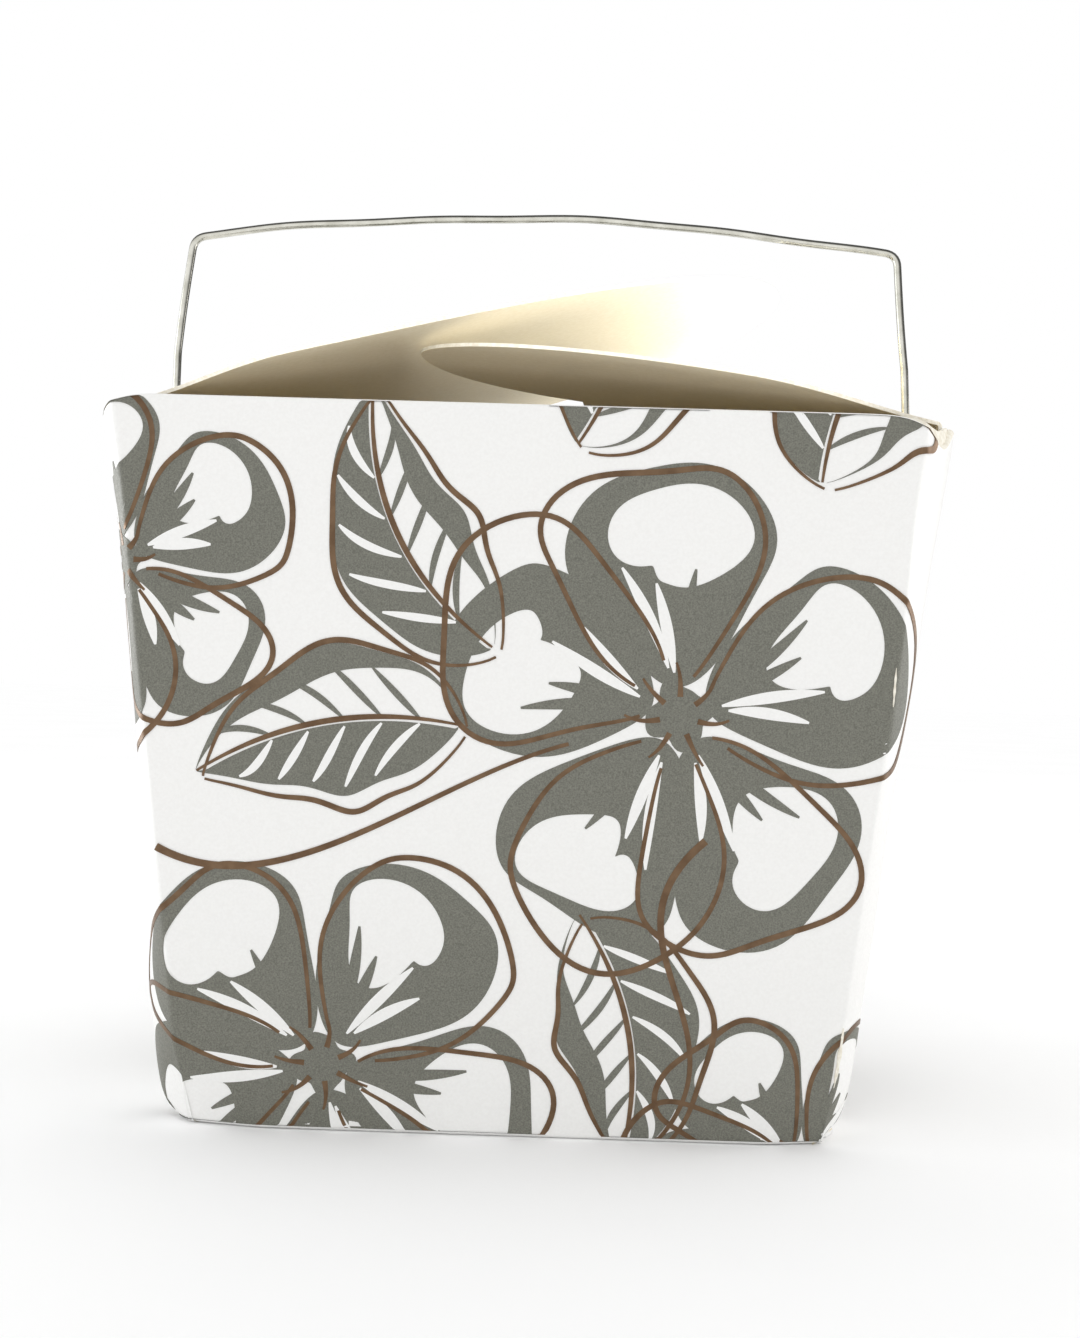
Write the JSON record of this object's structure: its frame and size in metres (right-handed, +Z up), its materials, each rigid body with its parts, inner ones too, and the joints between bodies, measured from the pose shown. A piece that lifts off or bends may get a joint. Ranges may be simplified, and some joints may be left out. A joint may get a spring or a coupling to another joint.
{
  "type": "noodle takeaway box",
  "caption": "Tapered paperboard food pail with folded corner webs, lid flaps standing ajar and a swinging wire bail, for carrying a takeaway meal.",
  "frame": {"origin": "middle of the flat base, at the level it stands on", "axes": "+Z up, +X to the right along the wide front panel, +Y from the front panel to the back one"},
  "size_m": [0.1152, 0.092, 0.1337],
  "materials": {
    "printed_board": "white coated paperboard with a grey and bronze floral print",
    "lid_board": "matt cream paperboard, unprinted inside",
    "wire": "drawn galvanised steel wire"
  },
  "bodies": {
    "pail": {"carton": "printed_board"},
    "bail": {"handle": "wire"},
    "lid_left": {"left_flap": "lid_board"},
    "lid_right": {"right_flap": "lid_board"}
  },
  "joints": [
    {"name": "bail_swing", "type": "hinge", "parent": "pail", "child": "bail", "pos_m": [0, 0, 0.086], "axis": [1, 0, 0], "range_deg": [-26, 66]},
    {"name": "left_flap_fold", "type": "hinge", "parent": "pail", "child": "lid_left", "pos_m": [-0.0537, 0, 0.09535], "axis": [0, -1, 0], "range_deg": [-13, 2]},
    {"name": "right_flap_fold", "type": "hinge", "parent": "pail", "child": "lid_right", "pos_m": [0.0537, 0, 0.09535], "axis": [0, 1, 0], "range_deg": [-6.9, 1.1]}
  ],
  "couplings": [
    {"joint": "right_flap_fold", "follows": "left_flap_fold", "ratio": 0.53}
  ]
}
